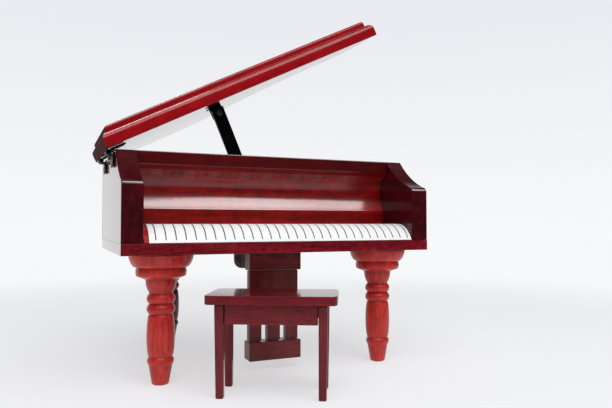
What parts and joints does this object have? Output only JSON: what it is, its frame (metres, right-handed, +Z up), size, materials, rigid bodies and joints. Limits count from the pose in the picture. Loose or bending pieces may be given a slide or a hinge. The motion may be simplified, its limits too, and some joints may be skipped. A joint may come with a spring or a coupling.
{
  "type": "miniature grand piano",
  "caption": "Miniature grand piano in red lacquered wood with a propped lid, turned legs, lyre, wind-up musical movement and matching bench.",
  "frame": {"origin": "on the floor under the middle of the bounding box, with the lid propped open and the bench in front", "axes": "+X along the keyboard to the treble side, +Y from the keyboard to the tail, +Z up"},
  "size_m": [0.1712, 0.1914, 0.1977],
  "materials": {
    "lacquered_wood": "cherry red stain under gloss lacquer",
    "keyboard_card": "white coated card with printed key lines",
    "black_steel": "satin black",
    "nickel": "dull dark nickel plate",
    "brass": "turned and stamped brass",
    "steel": "ground steel",
    "spring_steel": "blued spring steel",
    "cast_zinc": "plain cast zinc",
    "white_plastic": "moulded white plastic",
    "rubber": "matt black"
  },
  "bodies": {
    "case": {"bottom_board": "lacquered_wood", "left_side_board": "lacquered_wood", "right_side_board": "lacquered_wood", "bent_rim": "lacquered_wood", "coved_fallboard": "lacquered_wood", "key_block": "lacquered_wood", "keyboard_card": "keyboard_card", "front_left_leg": "lacquered_wood", "front_right_leg": "lacquered_wood", "rear_leg": "lacquered_wood", "lyre_top_block": "lacquered_wood", "lyre_upright": "lacquered_wood", "lyre_foot_block": "lacquered_wood", "front_hinge_case_leaf": "black_steel", "rear_hinge_case_leaf": "black_steel", "front_hinge_pin": "black_steel", "rear_hinge_pin": "black_steel", "prop_pad": "rubber", "movement_plate": "cast_zinc", "governor_frame": "cast_zinc", "comb": "steel", "spring_barrel": "brass", "mainspring": "spring_steel"},
    "lid": {"lid": "lacquered_wood", "front_hinge_lid_leaf": "black_steel", "rear_hinge_lid_leaf": "black_steel", "prop_bracket": "black_steel", "prop_pin": "steel"},
    "prop": {"prop_bar": "black_steel"},
    "winding": {"winding_arbor": "steel", "crown_wheel": "brass", "winding_key": "nickel"},
    "cylinder": {"pinned_cylinder": "brass", "cylinder_arbor": "steel", "cylinder_wheel": "brass"},
    "governor": {"governor_arbor": "steel", "worm_wheel": "white_plastic"},
    "worm": {"worm_arbor": "steel", "fan": "white_plastic"},
    "brake": {"brake_rod": "steel"},
    "bench": {"bench_seat": "lacquered_wood", "bench_front_left_leg": "lacquered_wood", "bench_front_right_leg": "lacquered_wood", "bench_back_left_leg": "lacquered_wood", "bench_back_right_leg": "lacquered_wood", "bench_front_apron": "lacquered_wood", "bench_back_apron": "lacquered_wood", "bench_left_apron": "lacquered_wood", "bench_right_apron": "lacquered_wood"}
  },
  "joints": [
    {"name": "lid_hinge", "type": "hinge", "parent": "case", "child": "lid", "pos_m": [-0.08252, 0.00399, 0.1137], "axis": [0, 1, 0], "range_deg": [0, 26.5]},
    {"name": "prop_fold", "type": "hinge", "parent": "lid", "child": "prop", "pos_m": [-0.02337, -0.00961, 0.13939], "axis": [0, 1, 0], "range_deg": [-91.8, 0]},
    {"name": "brake_slide", "type": "slide", "parent": "case", "child": "brake", "axis": [0, 0, -1], "range_m": [0, 0.003]},
    {"name": "key_turn", "type": "hinge", "parent": "case", "child": "winding", "pos_m": [0.00308, 0.00849, 0.057], "axis": [0, 0, 1], "continuous": true},
    {"name": "cylinder_turn", "type": "hinge", "parent": "case", "child": "cylinder", "pos_m": [0.00308, 0.00849, 0.0866], "axis": [1, 0, 0], "continuous": true},
    {"name": "governor_turn", "type": "hinge", "parent": "case", "child": "governor", "pos_m": [0.00308, -0.00051, 0.0866], "axis": [1, 0, 0], "continuous": true},
    {"name": "fan_turn", "type": "hinge", "parent": "case", "child": "worm", "pos_m": [-0.03412, 0.00519, 0.0866], "axis": [0, 0, 1], "continuous": true},
    {"name": "bench_pull", "type": "slide", "parent": "case", "child": "bench", "axis": [0, -1, 0], "range_m": [0, 0.08]}
  ],
  "couplings": [
    {"joint": "prop_fold", "follows": "lid_hinge", "ratio": -3.4642},
    {"joint": "brake_slide", "follows": "lid_hinge", "m_per_rad": 0.006486},
    {"joint": "cylinder_turn", "follows": "key_turn", "ratio": -2},
    {"joint": "governor_turn", "follows": "key_turn", "ratio": 8},
    {"joint": "fan_turn", "follows": "key_turn", "ratio": -112}
  ]
}
